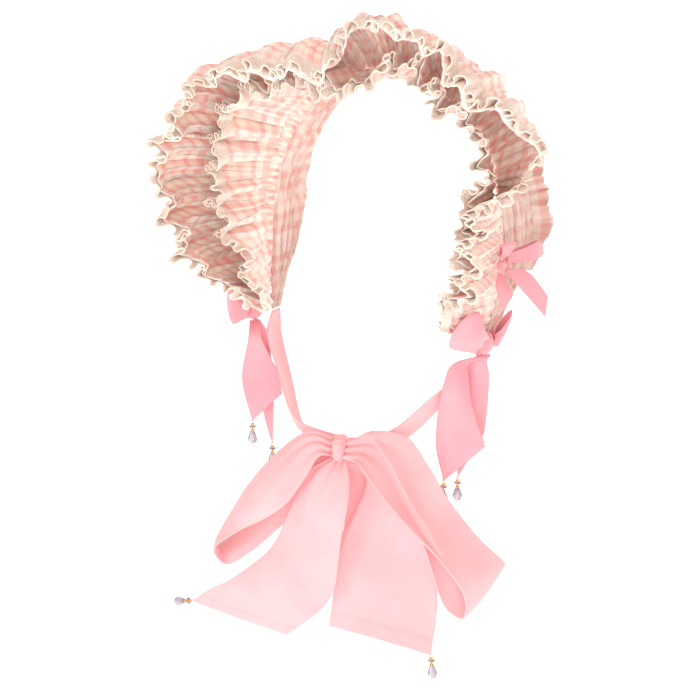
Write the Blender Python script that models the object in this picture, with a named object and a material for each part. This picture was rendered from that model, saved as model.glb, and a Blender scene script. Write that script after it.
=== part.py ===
"""Half bonnet: a ruffled check brim and band, cotton lace, satin side bows and a chin tie.

The wearer looks along -Y, +Z is up and +X is the wearer's left. The origin is the crown seat,
the middle of the band's underside over the top of the head. Tables and named sizes are in
millimetres; every mesh is turned into metres when its body is made.
"""
import math
from collections import namedtuple

import bpy
import numpy as np

MM = 0.001

# The arch that the band lies on, seen from the front: two half ellipses, in millimetres
HEAD_HALF_WIDTH = 84.0
CROWN_RISE = 105.0
CHEEK_DROP = 150.0
ARCH_END = 112.0

# Wall thicknesses and clearances
CLOTH = 1.5
LACE = 1.0
SATIN = 1.0
TIE_CLOTH = 1.4
GAP = 0.4
CREASE_GAP = 1.3
DROP_GAP = 0.6

# Band and back frill
BAND_LIFT = 2.9
BAND_RIDGE = 0.9
BAND_RIDGES = 2
BACK_FRILL_HEIGHT = 12.0
BACK_FRILL_END = 97.0
BACK_FRILL_SEAM = 1.3
BACK_FRILL_LEAN = 5.0
BACK_FRILL_RUFFLES = 22
BACK_FRILL_RUFFLE = 3.0

# Brim, its gathers and its lace
BRIM_SEAM = 1.6
BRIM_GATHERS = 24
BRIM_GATHER = 4.0
BRIM_CALM_ENDS = 18.0
BRIM_LACE_SHARES = (0.87, 1.02)

# Inner frill
FRILL_START = 0.05
FRILL_SEAM = 2.7
FRILL_GATHERS = 22
FRILL_GATHER = 2.5
FRILL_LACE_SHARES = (0.82, 1.03)

# Bows and ties
SMALL_KNOT = (3.2, 4.2, 4.6)
SMALL_KNOT_LEFT_AT = (95.9, -34.0, -108.0)
SMALL_KNOT_RIGHT_AT = (-91.0, -6.5, -108.0)
SIDE_KNOT = (4.6, 7.0, 7.5)
SIDE_KNOT_LEFT_AT = (86.8, -37.0, -160.0)
SIDE_KNOT_RIGHT_AT = (-88.0, -37.0, -160.0)
CHIN_KNOT = (7.0, 9.0, 9.0)
CHIN_KNOT_AT = (7.0, -86.0, -230.0)

# Half sections of the brim, angle in degrees round the arch from the wearer's right cheek (-)
# over the crown (0) to the left cheek (+): how far the middle and the edge of the brim stand
# out from the head and forward of the seam, and how far the edge is swept along the arch
BrimStation = namedtuple("BrimStation", "angle mid_out mid_forward edge_out edge_forward sweep")
BRIM = [
    BrimStation(-112, -3, 16, -9, 30, 12),
    BrimStation(-104, 4, 28, -3, 56, 8),
    BrimStation(-96, 20, 40, 10, 76, 0),
    BrimStation(-86, 32, 48, 20, 84, 0),
    BrimStation(-76, 38, 48, 34, 86, 0),
    BrimStation(-68, 41, 46, 44, 84, 0),
    BrimStation(-58, 44, 46, 39, 84, 0),
    BrimStation(-47, 49, 46, 42, 83, 0),
    BrimStation(-36, 42, 40, 34, 82, 0),
    BrimStation(-26, 35, 37, 21, 82, 0),
    BrimStation(-16, 30, 37, 12, 84, 4),
    BrimStation(-8, 30, 37, 9, 86, 12),
    BrimStation(-2, 37, 34, 31, 68, 2),
    BrimStation(4, 41, 30, 40, 56, 0),
    BrimStation(12, 41, 29, 40, 54, 0),
    BrimStation(22, 42, 30, 44, 60, 0),
    BrimStation(30, 42, 27, 50, 66, 0),
    BrimStation(36, 46, 21, 46, 74, 0),
    BrimStation(43, 47, 17, 47, 74, 0),
    BrimStation(50, 47, 14, 54, 60, 0),
    BrimStation(57, 46, 13, 55, 42, 2),
    BrimStation(63, 40, 18, 50, 38, 2),
    BrimStation(70, 22, 42, 30, 76, -4),
    BrimStation(78, 12, 46, 16, 84, -4),
    BrimStation(86, 10, 42, 14, 78, -2),
    BrimStation(95, 4, 37, 3, 70, -4),
    BrimStation(103, -2, 30, -10, 58, -8),
    BrimStation(112, -4, 16, -14, 32, -14),
]

# The inner frill's free edge, in the same terms
FrillStation = namedtuple("FrillStation", "angle out forward")
INNER_FRILL = [
    FrillStation(-110, -9.5, 22),
    FrillStation(-104, -7, 36),
    FrillStation(-97, -1, 46),
    FrillStation(-90, 8, 50),
    FrillStation(-82, 15, 52),
    FrillStation(-74, 20, 52),
    FrillStation(-66, 26, 50),
    FrillStation(-57, 29, 50),
    FrillStation(-50, 32, 53),
    FrillStation(-40, 29, 52),
    FrillStation(-28, 19, 52),
    FrillStation(-15, 8, 54),
    FrillStation(-4, 1, 54),
    FrillStation(3, 3, 50),
    FrillStation(8, 10, 45),
    FrillStation(13, 23, 40),
    FrillStation(19, 28, 40),
    FrillStation(28, 25, 45),
    FrillStation(38, 27, 50),
    FrillStation(47, 35, 52),
    FrillStation(55, 34, 56),
    FrillStation(62, 26, 59),
    FrillStation(70, 12, 56),
    FrillStation(80, 3, 50),
    FrillStation(92, -3, 44),
    FrillStation(102, -9, 35),
    FrillStation(110, -9, 22),
]

# Front and rear edge of the band, along Y, by the angle away from the crown on either side
BandEdge = namedtuple("BandEdge", "angle front rear")
BAND_EDGES = [
    BandEdge(0, -12, 28),
    BandEdge(40, -12, 28),
    BandEdge(75, -12, 28),
    BandEdge(88, -12, 27),
    BandEdge(96, -14, 17),
    BandEdge(104, -21, -1),
    BandEdge(112, -30, -18),
]

# A ribbon's cross sections, from edge a to edge b, with how far its middle bulges. The chin
# tie's stand in the object's own frame, the bows' are measured from the middle of their knot
Section = namedtuple("Section", "ax ay az bx by bz bulge")
CHIN_LOOP_RIGHT = [
    Section(-0.2, -86, -225, -0.2, -91, -230, 0),
    Section(-18, -87, -223, -3, -97.5, -235, 3),
    Section(-42, -89, -243, -10, -103, -249, 6),
    Section(-62, -90, -267, -23, -105, -268, 6),
    Section(-76, -89, -288, -42, -104, -283, 5),
    Section(-89, -86, -308, -66, -102, -298, 3),
    Section(-97, -79, -321, -84, -100, -313, 0),
    Section(-96, -74, -321, -80, -92, -327, -3),
    Section(-81, -70, -303, -64, -86, -317, -3),
    Section(-58, -71, -274, -45, -84, -299, -3),
    Section(-35, -73, -252, -27, -83, -280, -3),
    Section(-15, -77, -241, -11, -82, -257, -1),
    Section(-0.2, -81, -231, -0.2, -84, -237, 0),
]
CHIN_LOOP_LEFT = [
    Section(14.2, -86, -225, 14.2, -91, -231, 0),
    Section(30, -79, -218, 26, -97, -234, 3),
    Section(50, -75, -219, 39, -101, -245, 5),
    Section(64, -72, -237, 54, -103, -258, 6),
    Section(80, -70, -261, 70, -104, -271, 6),
    Section(100, -67, -283, 88, -102, -287, 5),
    Section(115, -64, -296, 102, -95, -310, 2),
    Section(112, -62, -300, 99, -89, -330, -3),
    Section(95, -68, -289, 86, -88, -326, -3),
    Section(80, -72, -275, 78, -88, -309, -3),
    Section(62, -76, -258, 68, -88, -283, -2),
    Section(43, -79, -241, 51, -87, -261, -2),
    Section(14.2, -81, -231, 14.2, -84, -237, 0),
]
CHIN_TAIL_RIGHT = [
    Section(2, -89, -240.3, 12, -88, -240.3, 0),
    Section(-6, -95, -246, 17, -92, -249, 3),
    Section(-14, -98, -262, 17, -94.5, -266, 5),
    Section(-25, -97, -282, 13, -95, -286, 6),
    Section(-44, -94, -309, 10, -94.5, -307, 6),
    Section(-76, -91, -337, 6, -94, -328, 5),
    Section(-95, -89, -349, -7, -93, -347, 3),
    Section(-111, -87, -362, -32, -91, -369, 1),
]
CHIN_TAIL_LEFT = [
    Section(4, -84, -240.2, 11, -84, -240.2, 0),
    Section(8, -80, -250, 32, -75, -248, -2),
    Section(6, -79, -268, 48, -71, -264, -4),
    Section(4, -81, -290, 62, -69, -287, -5),
    Section(3, -85, -316, 69, -70, -310, -4),
    Section(1, -87, -338, 73, -75, -334, -3),
    Section(-1, -88, -357, 73, -83, -364, -1),
]
CHIN_STRAP = [
    Section(79, -29, -162.5, 79, -19, -162.5, 0),
    Section(77, -39, -177, 75, -23, -181, 2),
    Section(58, -56, -196, 58, -39, -205, 3),
    Section(41, -70, -214, 42, -55, -225, 3),
    Section(26, -76, -222, 26, -68, -234, 2),
]
SIDE_TAIL_FRONT = [
    Section(-3, -2, -8.6, 3, -1, -8.6, 0),
    Section(-16.5, -14, -13, -12, -9, -13, 1),
    Section(-20, -19, -24, -9.5, -10, -24, 2),
    Section(-22.5, -20, -38, -4.4, -11, -36, 3),
    Section(-24.5, -20, -54, 1, -12, -50, 3),
    Section(-24.5, -20, -71, 5, -12.5, -59, 2),
    Section(-19.5, -19, -92, 7, -12.5, -66, 1),
]
SIDE_TAIL_REAR = [
    Section(-3, 1, -8, 3, 2, -8, 0),
    Section(-11, -3, -23, 1, 4, -22, 2),
    Section(-18, -6, -50, 0.5, 4, -42, 3),
    Section(-16, -5.5, -93, -1.5, 3.5, -63, 1),
]
SIDE_TAIL_OTHER = [
    Section(-3, -2, -8.5, 3, -1, -8.5, 0),
    Section(1, -11, -20, 12, -10, -19, 2),
    Section(-3, -13, -48, 22, -8, -39, 3),
    Section(4, -12, -77, 26, -8, -55, 1),
]
SMALL_TAIL_FRONT = [
    Section(-1.5, -2, -5.2, 1, -0.5, -5.2, 0),
    Section(-1, -6, -13, 6, -1, -13.5, 1),
    Section(4.5, -6, -28.5, 9, -1, -18.5, 0),
]
SMALL_TAIL_REAR = [
    Section(0.2, 3.8, -4.9, 2.4, 5, -2.6, 0),
    Section(7.5, 12, -17, 11.5, 16.5, -7, 1),
    Section(19.5, 26, -38, 20.5, 27.5, -24, 0),
]

# Bow loops, from the middle of their knot: the middle of the root and of the outer fold, the
# widths there, the direction of the ribbon's width, and how far the two layers stand apart
Loop = namedtuple("Loop", "root fold root_width fold_width across eye")
LOOP_ROOT_GAP = 2.2
SIDE_LOOP_FRONT = Loop((1, -8.3, 1), (-4.5, -25, 17), 14, 38, (-21, -12, -31), 10)
SIDE_LOOP_OTHER = Loop((1, -8, 0), (7, -23, 8), 11, 34, (-7, -9, -29), 9)
SIDE_LOOP_REAR = Loop((1.5, 7.8, 1.5), (8, 15.5, 9), 11, 36, (-13, -2, -33), 8)
SMALL_LOOP_FRONT = Loop((0.5, -1.5, 6), (9, -8.5, 17), 5, 12, (6, 10, 1), 6)
SMALL_LOOP_REAR = Loop((1, 5, 3.6), (13, 30, 6), 7, 13, (0, -1, -12), 7)

# A hanging drop's turned outline: distance from the ribbon's tip and radius
Ring = namedtuple("Ring", "along radius")
DROP_OUTLINE = [
    Ring(0.0, 0.7),
    Ring(2.0, 2.6),
    Ring(4.4, 2.6),
    Ring(6.2, 1.2),
    Ring(10.6, 3.0),
    Ring(13.2, 3.4),
    Ring(16.2, 1.3),
]
DROP_SIDES = 8
DROP_TURN = (0.3, 1.0, 0.2)

# A knot's outline, in shares of its half sizes
KNOT_OUTLINE = [
    Ring(-1.0, 0.62),
    Ring(-0.6, 0.93),
    Ring(0.0, 1.0),
    Ring(0.6, 0.93),
    Ring(1.0, 0.62),
]
KNOT_SIDES = 8

Finish = namedtuple("Finish", "name colour roughness metallic")
CHECK_CLOTH = Finish("check_cloth", (0.90, 0.62, 0.60), 0.90, 0.0)
COTTON_LACE = Finish("cotton_lace", (0.93, 0.86, 0.77), 0.92, 0.0)
PINK_SATIN = Finish("pink_satin", (0.86, 0.38, 0.48), 0.45, 0.0)
PINK_COTTON = Finish("pink_cotton", (0.93, 0.50, 0.52), 0.85, 0.0)
CRYSTAL = Finish("crystal", (0.80, 0.78, 0.84), 0.08, 0.0)


def remove_everything():
    for old in list(bpy.data.objects):
        bpy.data.objects.remove(old, do_unlink=True)


def material(finish):
    """One Principled material per finish, made the first time that it is asked for."""
    made = bpy.data.materials.get(finish.name)
    if made is None:
        made = bpy.data.materials.new(finish.name)
        made.use_nodes = True
        shader = made.node_tree.nodes["Principled BSDF"]
        shader.inputs["Base Color"].default_value = (*finish.colour, 1.0)
        shader.inputs["Roughness"].default_value = finish.roughness
        shader.inputs["Metallic"].default_value = finish.metallic
    return made


def body(name, points, faces, finish, smooth=True):
    """One closed mesh object from points in millimetres."""
    mesh = bpy.data.meshes.new(name)
    mesh.from_pydata((np.asarray(points) * MM).tolist(), [], [list(map(int, f)) for f in faces])
    mesh.validate()
    mesh.update()
    if smooth:
        mesh.shade_smooth()
        mesh.set_sharp_from_angle(angle=math.radians(60))
    thing = bpy.data.objects.new(name, mesh)
    thing.data.materials.append(material(finish))
    bpy.context.scene.collection.objects.link(thing)
    return thing


def column(rows, name):
    return np.array([getattr(row, name) for row in rows], float)


def curve(x, at, values):
    """Cubic curve through the table's values, with slopes from their neighbours."""
    x = np.asarray(x, float)
    slope = np.gradient(values, at)
    i = np.clip(np.searchsorted(at, x) - 1, 0, len(at) - 2)
    step = at[i + 1] - at[i]
    t = (x - at[i]) / step
    return ((2 * t**3 - 3 * t**2 + 1) * values[i] + (t**3 - 2 * t**2 + t) * step * slope[i]
            + (3 * t**2 - 2 * t**3) * values[i + 1] + (t**3 - t**2) * step * slope[i + 1])


def table_curve(x, rows, name, key="angle"):
    return curve(x, column(rows, key), column(rows, name))


def unit(v):
    return v / np.linalg.norm(v, axis=-1, keepdims=True)


def wall_faces(rows, columns):
    """Quads of a closed wall whose two skins are rows x columns grids, one after the other."""
    r, c = np.meshgrid(np.arange(rows - 1), np.arange(columns - 1), indexing="ij")
    a = (r * columns + c).ravel()
    top = np.stack([a, a + columns, a + columns + 1, a + 1], 1)
    second = rows * columns
    under = top[:, ::-1] + second
    ring = np.concatenate([
        np.arange(columns - 1),
        (np.arange(rows - 1) + 1) * columns - 1,
        rows * columns - 1 - np.arange(columns - 1),
        (rows - 1 - np.arange(rows - 1)) * columns])
    after = np.roll(ring, -1)
    rim = np.stack([ring, after, after + second, ring + second], 1)
    return np.concatenate([top, under, rim])


def lifted(middle, lift):
    """The grid moved off its own surface, by one lift or by a lift for each point."""
    normal = unit(np.cross(np.gradient(middle, axis=0), np.gradient(middle, axis=1)))
    return middle + normal * np.asarray(lift + 0 * middle[..., 0])[..., None]


def wall(name, middle, thickness, finish):
    """A cloth wall: the grid of its middle surface moved half its thickness to each side."""
    rows, columns = middle.shape[:2]
    skins = [lifted(middle, thickness / 2), lifted(middle, -thickness / 2)]
    points = np.concatenate([skin.reshape(-1, 3) for skin in skins])
    return body(name, points, wall_faces(rows, columns), finish)


def arch(angle):
    """Point of the arch in the XZ plane and the direction straight out of the head there."""
    p = np.radians(angle)
    rise = np.where(np.cos(p) > 0, CROWN_RISE, CHEEK_DROP)
    at = np.stack([HEAD_HALF_WIDTH * np.sin(p), 0 * p, -CROWN_RISE + rise * np.cos(p)], -1)
    out = unit(np.stack([np.sin(p) / HEAD_HALF_WIDTH, 0 * p, np.cos(p) / rise], -1))
    return at, out


def along_arch(angle):
    out = arch(angle)[1]
    return np.stack([out[..., 2], 0 * angle, -out[..., 0]], -1)


def place(angle, out, forward, sweep=0.0):
    """Point that stands out from the arch and forward of Y = 0, swept along the arch."""
    at, outward = arch(angle)
    shift = np.stack([0 * angle, -np.asarray(forward) + 0 * angle, 0 * angle], -1)
    swept = along_arch(angle) * np.asarray(sweep + 0 * angle)[..., None]
    return at + outward * np.asarray(out + 0 * angle)[..., None] + shift + swept


def band_front(angle):
    return table_curve(np.abs(angle), BAND_EDGES, "front")


def band_rear(angle):
    return table_curve(np.abs(angle), BAND_EDGES, "rear")


def brim_section(angle, s):
    """How far out and forward the brim is at the share s of its width, and the same slopes."""
    mo = table_curve(angle, BRIM, "mid_out")
    mf = table_curve(angle, BRIM, "mid_forward")
    eo = table_curve(angle, BRIM, "edge_out")
    ef = table_curve(angle, BRIM, "edge_forward")
    out = 4 * s * (1 - s) * mo + s * (2 * s - 1) * eo
    forward = 4 * s * (1 - s) * mf + s * (2 * s - 1) * ef
    d_out = (4 - 8 * s) * mo + (4 * s - 1) * eo
    d_forward = (4 - 8 * s) * mf + (4 * s - 1) * ef
    return out, forward, d_out, d_forward


def brim_point(angle, s):
    """The brim's middle surface, gathered more and more towards its edge."""
    out, forward, d_out, d_forward = brim_section(angle, s)
    length = np.hypot(d_out, d_forward)
    depth = BRIM_GATHER * np.clip((ARCH_END - np.abs(angle)) / BRIM_CALM_ENDS, 0.2, 1)
    gather = depth * s**1.3 * np.sin(np.pi * BRIM_GATHERS * angle / ARCH_END)
    move = gather / length
    sweep = table_curve(angle, BRIM, "sweep") * s**2
    return place(angle, BAND_LIFT + out + move * d_forward,
                 BRIM_SEAM - band_front(angle) + forward - move * d_out, sweep)


def frill_point(angle, s):
    """The inner frill's middle surface, from inside the brim near its seam to its free edge."""
    out, forward, d_out, d_forward = brim_section(angle, FRILL_START)
    length = np.hypot(d_out, d_forward)
    root_out = BAND_LIFT + out - FRILL_SEAM * d_forward / length
    root_forward = forward + FRILL_SEAM * d_out / length
    run_out = BAND_LIFT + table_curve(angle, INNER_FRILL, "out") - root_out
    run_forward = table_curve(angle, INNER_FRILL, "forward") - root_forward
    run = np.hypot(run_out, run_forward)
    gather = FRILL_GATHER * s**1.2 * np.sin(np.pi * FRILL_GATHERS * angle / ARCH_END + 0.8)
    move = gather / run
    return place(angle, root_out + run_out * s + move * run_forward,
                 BRIM_SEAM - band_front(angle) + root_forward + run_forward * s - move * run_out)


def grid(first, last, rows, columns):
    return np.meshgrid(np.linspace(first, last, columns), np.linspace(0, 1, rows), indexing="ij")


def make_band():
    """The band: cloth over the head with a few ridges along its length."""
    angle, across = grid(-ARCH_END, ARCH_END, 8, 41)
    ridge = BAND_RIDGE * np.cos(2 * np.pi * BAND_RIDGES * across)
    along = band_front(angle) + (band_rear(angle) - band_front(angle)) * across
    wall("band", place(angle, BAND_LIFT + ridge, -along), CLOTH, CHECK_CLOTH)


def make_back_frill():
    """The frill standing at the band's rear edge, ruffled towards its free edge."""
    angle, up = grid(-BACK_FRILL_END, BACK_FRILL_END, 3, 87)
    taper = np.clip((BACK_FRILL_END + 6 - np.abs(angle)) / 16, 0.35, 1)
    ruffle = BACK_FRILL_RUFFLE * up * np.sin(np.pi * BACK_FRILL_RUFFLES * angle / ARCH_END)
    back = band_rear(angle) + BACK_FRILL_SEAM + BACK_FRILL_LEAN * up + ruffle
    out = BAND_LIFT + BAND_RIDGE + BACK_FRILL_HEIGHT * taper * up
    wall("back_frill", place(angle, out, -back), CLOTH, CHECK_CLOTH)


def edge_strip(name, middle, shares, side):
    """Lace along a frill's free edge, on one side of it, between two shares of its width."""
    rows = middle.shape[1]
    off = lifted(middle, side * ((CLOTH + LACE) / 2 + CREASE_GAP))
    before, last = off[:, -2], off[:, -1]
    steps = [(share - 1) * (rows - 1) for share in shares]
    strip = np.stack([last + (last - before) * step for step in steps], 1)
    wall(name, strip, LACE, COTTON_LACE)


def make_brim():
    """The brim and the lace on its outer face."""
    angle, s = grid(-ARCH_END, ARCH_END, 6, 115)
    middle = brim_point(angle, s)
    wall("brim", middle, CLOTH, CHECK_CLOTH)
    edge_strip("brim_lace", middle, BRIM_LACE_SHARES, -1)


def make_inner_frill():
    """The inner frill and the lace on the face that it turns to the wearer."""
    end = INNER_FRILL[-1].angle
    angle, s = grid(-end, end, 4, 91)
    middle = frill_point(angle, s)
    wall("inner_frill", middle, CLOTH, CHECK_CLOTH)
    edge_strip("inner_frill_lace", middle, FRILL_LACE_SHARES, 1)


def mirrored(rows):
    """The same sections on the wearer's other side."""
    return [row._replace(ax=-row.ax, bx=-row.bx, bulge=-row.bulge) for row in rows]


def carried(rows, at):
    """Sections measured from a knot, carried to the place of that knot."""
    x, y, z = at
    return [row._replace(ax=row.ax + x, ay=row.ay + y, az=row.az + z,
                         bx=row.bx + x, by=row.by + y, bz=row.bz + z) for row in rows]


def ribbon(name, rows, thickness, finish, along, across=4):
    """A ribbon through its table of sections, its middle bulging off the flat."""
    index = np.arange(len(rows), dtype=float)
    t = np.linspace(0, index[-1], along)
    a = np.stack([curve(t, index, column(rows, key)) for key in ("ax", "ay", "az")], -1)
    b = np.stack([curve(t, index, column(rows, key)) for key in ("bx", "by", "bz")], -1)
    bulge = curve(t, index, column(rows, "bulge"))
    v = np.linspace(0, 1, across)[None, :, None]
    flat = a[:, None] * (1 - v) + b[:, None] * v
    normal = unit(np.cross(np.gradient(flat, axis=0), np.gradient(flat, axis=1)))
    middle = flat + normal * bulge[:, None, None] * 4 * v * (1 - v)
    return wall(name, middle, thickness, finish)


def bow_loop(name, loop, at, side, along=10, across=3):
    """A bow's satin loop: out along one layer, round the fold and back along the other."""
    flip = np.array([side, 1, 1], float)
    root = np.array(loop.root) * flip + at
    fold = np.array(loop.fold) * flip + at
    wide = unit(np.array(loop.across) * flip)
    apart = unit(np.cross(unit(fold - root), wide))
    turn = np.linspace(0, np.pi, along)
    out = np.sin(turn)[:, None, None]
    eye = LOOP_ROOT_GAP + (loop.eye - LOOP_ROOT_GAP) * np.sin(turn)
    gap = (-np.cos(turn) * eye / 2)[:, None, None]
    width = loop.root_width + (loop.fold_width - loop.root_width) * np.sin(turn)**1.5
    v = np.linspace(-0.5, 0.5, across)[None, :, None]
    middle = root + (fold - root) * out + apart * gap + wide * width[:, None, None] * v
    return wall(name, middle, SATIN, PINK_SATIN)


def turned(name, base, axes, rings, sides, finish, smooth=True):
    """A closed body of flat-ended rings round its third axis."""
    first, second, axis = (np.array(a, float) for a in axes)
    turn = 2 * np.pi * np.arange(sides) / sides
    round_it = np.cos(turn)[:, None] * first + np.sin(turn)[:, None] * second
    points = np.concatenate([base + axis * ring.along + round_it * ring.radius for ring in rings])
    a = np.arange((len(rings) - 1) * sides)
    b = a // sides * sides + (a + 1) % sides
    faces = np.stack([a, b, b + sides, a + sides], 1).tolist()
    faces.append(list(range(sides))[::-1])
    faces.append(list(range(len(points) - sides, len(points))))
    return body(name, points, faces, finish, smooth)


def knot(name, at, half, finish):
    """A knot: a barrel of cloth with its own half sizes along X, Y and Z."""
    turned(name, np.array(at), np.diag(half), KNOT_OUTLINE, KNOT_SIDES, finish)


def drop(name, tip, direction):
    """A faceted crystal drop under a small bead, hanging from the point of a ribbon."""
    axis = unit(np.array(direction, float))
    side = unit(np.cross(axis, DROP_TURN))
    start = np.array(tip, float) + axis * DROP_GAP
    turned(name, start, (side, np.cross(axis, side), axis), DROP_OUTLINE, DROP_SIDES, CRYSTAL, False)


def make_small_bow(word, side, at):
    """The small satin bow where the back frill ends."""
    name = "small_bow_" + word
    knot(name + "_knot", at, SMALL_KNOT, PINK_SATIN)
    for end, loop in (("front", SMALL_LOOP_FRONT), ("rear", SMALL_LOOP_REAR)):
        bow_loop(name + "_loop_" + end, loop, at, side, 9)
    for end, rows in (("front", SMALL_TAIL_FRONT), ("rear", SMALL_TAIL_REAR)):
        rows = carried(rows if side > 0 else mirrored(rows), at)
        ribbon(name + "_tail_" + end, rows, SATIN, PINK_SATIN, 6, 3)


def make_side_bow(word, side, at, front_loop, front_tail):
    """The large satin bow at the band's lower end, with a drop at each tail's point."""
    name = "side_bow_" + word
    knot(name + "_knot", at, SIDE_KNOT, PINK_SATIN)
    bow_loop(name + "_loop_front", front_loop, at, side)
    bow_loop(name + "_loop_rear", SIDE_LOOP_REAR, at, side)
    rear_tail = SIDE_TAIL_REAR if side > 0 else mirrored(SIDE_TAIL_REAR)
    for end, rows in (("front", carried(front_tail, at)), ("rear", carried(rear_tail, at))):
        ribbon(name + "_tail_" + end, rows, SATIN, PINK_SATIN, 9)
        last = rows[-1]
        drop("drop_side_" + word + "_" + end, (last.ax, last.ay, last.az), (0, 0, -1))


def make_chin_tie():
    """The chin tie: two straps round the jaw, a knot, two loops and two tails with drops."""
    knot("chin_knot", CHIN_KNOT_AT, CHIN_KNOT, PINK_COTTON)
    for word, side in (("left", 1), ("right", -1)):
        rows = CHIN_STRAP if side > 0 else mirrored(CHIN_STRAP)
        x = CHIN_KNOT_AT[0] + side * GAP * 2
        y = CHIN_KNOT_AT[1] + CHIN_KNOT[1] + GAP + TIE_CLOTH / 2
        top = Section(x, y, CHIN_KNOT_AT[2] + 4, x, y, CHIN_KNOT_AT[2] - 5, 0)
        ribbon("chin_strap_" + word, rows + [top], TIE_CLOTH, PINK_COTTON, 13, 3)
    ribbon("chin_loop_left", CHIN_LOOP_LEFT, TIE_CLOTH, PINK_COTTON, 22)
    ribbon("chin_loop_right", CHIN_LOOP_RIGHT, TIE_CLOTH, PINK_COTTON, 22)
    ribbon("chin_tail_left", CHIN_TAIL_LEFT, TIE_CLOTH, PINK_COTTON, 13, 5)
    ribbon("chin_tail_right", CHIN_TAIL_RIGHT, TIE_CLOTH, PINK_COTTON, 12, 5)
    left, right = CHIN_TAIL_LEFT[-1], CHIN_TAIL_RIGHT[-1]
    drop("drop_chin_left", (left.bx, left.by, left.bz), (0.1, 0, -1))
    drop("drop_chin_right", (right.ax, right.ay, right.az), (-1, 0, -0.25))


def main():
    remove_everything()
    make_band()
    make_back_frill()
    make_brim()
    make_inner_frill()
    make_small_bow("left", 1, SMALL_KNOT_LEFT_AT)
    make_small_bow("right", -1, SMALL_KNOT_RIGHT_AT)
    make_side_bow("left", 1, SIDE_KNOT_LEFT_AT, SIDE_LOOP_FRONT, SIDE_TAIL_FRONT)
    make_side_bow("right", -1, SIDE_KNOT_RIGHT_AT, SIDE_LOOP_OTHER, SIDE_TAIL_OTHER)
    make_chin_tie()


main()
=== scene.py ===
import math

import bmesh
import bpy
import numpy as np
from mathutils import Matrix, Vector


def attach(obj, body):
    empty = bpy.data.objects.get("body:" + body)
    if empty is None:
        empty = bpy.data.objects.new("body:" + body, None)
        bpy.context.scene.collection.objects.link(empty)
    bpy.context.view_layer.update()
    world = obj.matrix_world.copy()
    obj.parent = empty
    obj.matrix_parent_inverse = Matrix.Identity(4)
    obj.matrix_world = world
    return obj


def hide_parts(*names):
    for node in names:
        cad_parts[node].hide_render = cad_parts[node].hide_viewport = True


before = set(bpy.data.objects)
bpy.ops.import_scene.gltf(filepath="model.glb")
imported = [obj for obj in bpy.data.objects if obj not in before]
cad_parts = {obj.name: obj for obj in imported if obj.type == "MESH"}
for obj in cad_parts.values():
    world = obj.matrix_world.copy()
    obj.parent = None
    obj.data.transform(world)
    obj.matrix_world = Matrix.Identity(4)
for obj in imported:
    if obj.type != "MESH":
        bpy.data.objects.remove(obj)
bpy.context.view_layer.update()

# Camera: a studio camera with a long lens, to the wearer's left and a little above, at the
# distance from which the whole half bonnet fills the frame.
CAMERA_AZIMUTH = math.radians(29)
CAMERA_ELEVATION = math.radians(17)
CAMERA_DISTANCE = 1.4
CAMERA_TARGET = Vector((0, -0.040, -0.190))
towards_camera = Vector((math.sin(CAMERA_AZIMUTH) * math.cos(CAMERA_ELEVATION),
                         -math.cos(CAMERA_AZIMUTH) * math.cos(CAMERA_ELEVATION),
                         math.sin(CAMERA_ELEVATION)))
camera = bpy.data.objects.new("camera", bpy.data.cameras.new("camera"))
camera.data.lens = 108
camera.data.shift_x = -0.02206
camera.data.shift_y = 0.02787
camera.location = CAMERA_TARGET + towards_camera * CAMERA_DISTANCE
camera.rotation_euler = towards_camera.to_track_quat("Z", "Y").to_euler()
bpy.context.collection.objects.link(camera)
bpy.context.scene.camera = camera
bpy.context.scene.view_settings.view_transform = "Standard"

# Studio: a sheet of white background paper that lies on the floor and curves up behind, lit by a
# lamp of its own, with a soft light from each side of the camera and pale walls all round.
FLOOR_Z = -0.46
PAPER_HALF_WIDTH = 4.0
PAPER_FRONT = -3.0
PAPER_BACK = 2.2
PAPER_CURVE = 0.9
PAPER_HEIGHT = 3.5
PAPER_FLAT_SHARE = 0.4
PAPER_BEND_SHARE = 0.3
PAPER_ROWS = 60


def linear(code):
    """An sRGB hex colour as linear red, green, blue and a full alpha."""
    c = np.array([int(code[i:i + 2], 16) for i in (1, 3, 5)]) / 255
    return (*np.where(c <= 0.04045, c / 12.92, ((c + 0.055) / 1.055)**2.4).tolist(), 1.0)


def node(tree, kind, inputs=None, **settings):
    """One node with its settings, each of its inputs set to a value or linked to a socket."""
    made = tree.nodes.new("ShaderNode" + kind)
    for key, value in settings.items():
        setattr(made, key, value)
    for key, value in (inputs or {}).items():
        if isinstance(value, bpy.types.NodeSocket):
            tree.links.new(value, made.inputs[key])
        else:
            made.inputs[key].default_value = value
    return made


def material(name, **shader_values):
    """A new material, its node tree and its shader. The values, named for the shader's sockets,
    are the same all over."""
    made = bpy.data.materials.new(name)
    made.use_nodes = True
    shader = made.node_tree.nodes["Principled BSDF"]
    for key, value in shader_values.items():
        socket = key.replace("_", " ").title().replace("Ior", "IOR")
        shader.inputs[socket].default_value = value
    return made, made.node_tree, shader


def grid(first, last, rows, columns, low=0, high=1):
    """Two parameters at every point of a grid: from first to last down its rows, and from low to
    high across its columns."""
    return np.meshgrid(np.linspace(first, last, rows), np.linspace(low, high, columns), indexing="ij")


def grid_faces(rows, columns):
    """The quads of a grid of rows x columns points."""
    a = (np.arange(rows - 1)[:, None] * columns + np.arange(columns - 1)).ravel()
    return np.stack([a, a + columns, a + columns + 1, a + 1], 1)


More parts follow.
